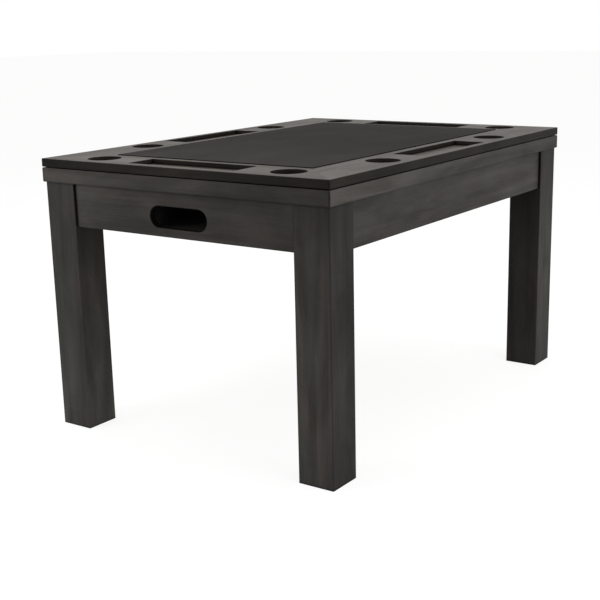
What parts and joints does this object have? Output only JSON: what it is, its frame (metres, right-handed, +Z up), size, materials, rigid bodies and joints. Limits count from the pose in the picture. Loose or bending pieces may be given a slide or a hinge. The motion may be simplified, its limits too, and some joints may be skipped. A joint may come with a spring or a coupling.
{
  "type": "gaming table",
  "caption": "Bumper pool table with a lift-off card top: felt panel, cup wells and chip trays in the border, ball openings in the end aprons, square legs.",
  "frame": {"origin": "on the floor under the middle of the table", "axes": "+X along the table, +Y across it, +Z up"},
  "size_m": [1.372, 0.988, 0.802],
  "materials": {
    "stained_wood": "satin charcoal stain, brushed grain",
    "stained_top": "satin charcoal stain, fine grain",
    "dark_edge": "satin black edge",
    "raw_wood": "planed, unfinished",
    "fibreboard": "raw fibreboard",
    "felt": "napped felt",
    "playing_cloth": "woven wool cloth",
    "rubber": "matte",
    "bumper_rubber": "matte white rubber",
    "bumper_black": "moulded",
    "moulded_black": "fine texture",
    "pad_rubber": "matte",
    "steel": "zinc plated",
    "steel_dark": "zinc plated"
  },
  "bodies": {
    "table": {"leg_left_front": "stained_wood", "leg_right_front": "stained_wood", "leg_right_back": "stained_wood", "leg_left_back": "stained_wood", "corner_block_left_front": "raw_wood", "corner_block_right_front": "raw_wood", "corner_block_right_back": "raw_wood", "corner_block_left_back": "raw_wood", "leg_inserts": "steel", "leg_bolts": "steel", "leg_nuts": "steel", "apron_front": "stained_wood", "rail_front": "stained_wood", "cushion_front": "rubber", "cushion_cloth_front": "playing_cloth", "apron_right": "stained_wood", "rail_right": "stained_wood", "cushion_right": "rubber", "cushion_cloth_right": "playing_cloth", "apron_back": "stained_wood", "rail_back": "stained_wood", "cushion_back": "rubber", "cushion_cloth_back": "playing_cloth", "apron_left": "stained_wood", "rail_left": "stained_wood", "cushion_left": "rubber", "cushion_cloth_left": "playing_cloth", "bed_cleat_front": "raw_wood", "bed_cleat_back": "raw_wood", "cross_beam_left": "raw_wood", "cross_beam_right": "raw_wood", "bed_board": "fibreboard", "bed_cloth": "playing_cloth", "bumper_posts": "bumper_black", "bumper_rings": "bumper_rubber", "bumper_screws": "steel", "pocket_liner_left": "moulded_black", "ball_box_left": "moulded_black", "pocket_liner_right": "moulded_black", "ball_box_right": "moulded_black", "rail_bolts": "steel", "box_screws": "steel", "cleat_screws": "steel", "rest_pads": "pad_rubber"},
    "game_top": {"top_base_panel": "stained_top", "play_board": "fibreboard", "play_felt": "felt", "edge_band_front": "dark_edge", "edge_band_right": "dark_edge", "edge_band_back": "dark_edge", "edge_band_left": "dark_edge", "border_board_front": "stained_top", "border_board_right": "stained_top", "border_board_back": "stained_top", "border_board_left": "stained_top"},
    "foot_left_front": {"leveller_left_front": "steel_dark"},
    "foot_right_front": {"leveller_right_front": "steel_dark"},
    "foot_right_back": {"leveller_right_back": "steel_dark"},
    "foot_left_back": {"leveller_left_back": "steel_dark"}
  },
  "joints": [
    {"name": "top_lift_off", "type": "slide", "parent": "table", "child": "game_top", "axis": [0, 0, 1], "range_m": [0, 0.3]},
    {"name": "wind_out_left_front", "type": "slide", "parent": "table", "child": "foot_left_front", "axis": [0, 0, -1], "range_m": [0, 0.012]},
    {"name": "wind_out_right_front", "type": "slide", "parent": "table", "child": "foot_right_front", "axis": [0, 0, -1], "range_m": [0, 0.012]},
    {"name": "wind_out_right_back", "type": "slide", "parent": "table", "child": "foot_right_back", "axis": [0, 0, -1], "range_m": [0, 0.012]},
    {"name": "wind_out_left_back", "type": "slide", "parent": "table", "child": "foot_left_back", "axis": [0, 0, -1], "range_m": [0, 0.012]}
  ]
}
